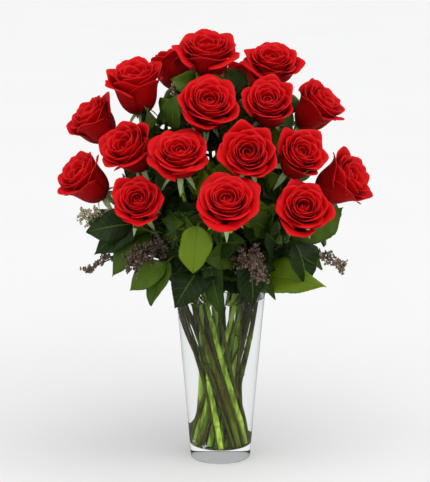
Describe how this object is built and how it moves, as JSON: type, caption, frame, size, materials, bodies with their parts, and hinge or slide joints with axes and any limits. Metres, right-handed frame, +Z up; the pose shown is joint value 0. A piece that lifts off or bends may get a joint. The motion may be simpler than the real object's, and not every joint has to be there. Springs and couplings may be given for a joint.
{
  "type": "roses in a vase",
  "caption": "Bunch of long-stemmed red roses with broad-leaved greens and seeded eucalyptus, standing in water in a clear tapered glass vase.",
  "frame": {"origin": "middle of the vase's underside", "axes": "+Z up the vase, -Y the side the bunch is seen from in the picture, +X to the right there"},
  "size_m": [0.4267, 0.3605, 0.6001],
  "materials": {
    "glass": "clear, polished",
    "water": "clear liquid",
    "petal": "velvety",
    "stem": "satin",
    "leaf": "waxy",
    "seed": "matte"
  },
  "bodies": {
    "root": {"vase": "glass", "water": "water", "rose_01_bloom": "petal", "rose_02_bloom": "petal", "rose_03_bloom": "petal", "rose_04_bloom": "petal", "rose_05_bloom": "petal", "rose_06_bloom": "petal", "rose_07_bloom": "petal", "rose_08_bloom": "petal", "rose_09_bloom": "petal", "rose_10_bloom": "petal", "rose_11_bloom": "petal", "rose_12_bloom": "petal", "rose_13_bloom": "petal", "rose_14_bloom": "petal", "rose_15_bloom": "petal", "rose_16_bloom": "petal", "rose_17_bloom": "petal", "rose_18_bloom": "petal", "rose_01_stem": "stem", "rose_02_stem": "stem", "rose_03_stem": "stem", "rose_04_stem": "stem", "rose_05_stem": "stem", "rose_06_stem": "stem", "rose_07_stem": "stem", "rose_08_stem": "stem", "rose_09_stem": "stem", "rose_10_stem": "stem", "rose_11_stem": "stem", "rose_12_stem": "stem", "rose_13_stem": "stem", "rose_14_stem": "stem", "rose_15_stem": "stem", "rose_16_stem": "stem", "rose_17_stem": "stem", "rose_18_stem": "stem", "leaf_spray_left": "leaf", "leaf_spray_front_left": "leaf", "leaf_spray_front": "leaf", "leaf_spray_front_right": "leaf", "leaf_spray_right": "leaf", "leaf_spray_right_back": "leaf", "leaf_spray_back_right": "leaf", "leaf_spray_back": "leaf", "leaf_spray_back_left": "leaf", "leaf_spray_left_back": "leaf", "leaf_spray_inner_left": "leaf", "leaf_spray_inner_right": "leaf", "eucalyptus_front_left": "seed", "eucalyptus_front_left_low": "seed", "eucalyptus_front_right": "seed", "eucalyptus_right": "seed", "eucalyptus_left": "seed", "eucalyptus_back": "seed", "eucalyptus_inner": "seed"}
  },
  "joints": []
}
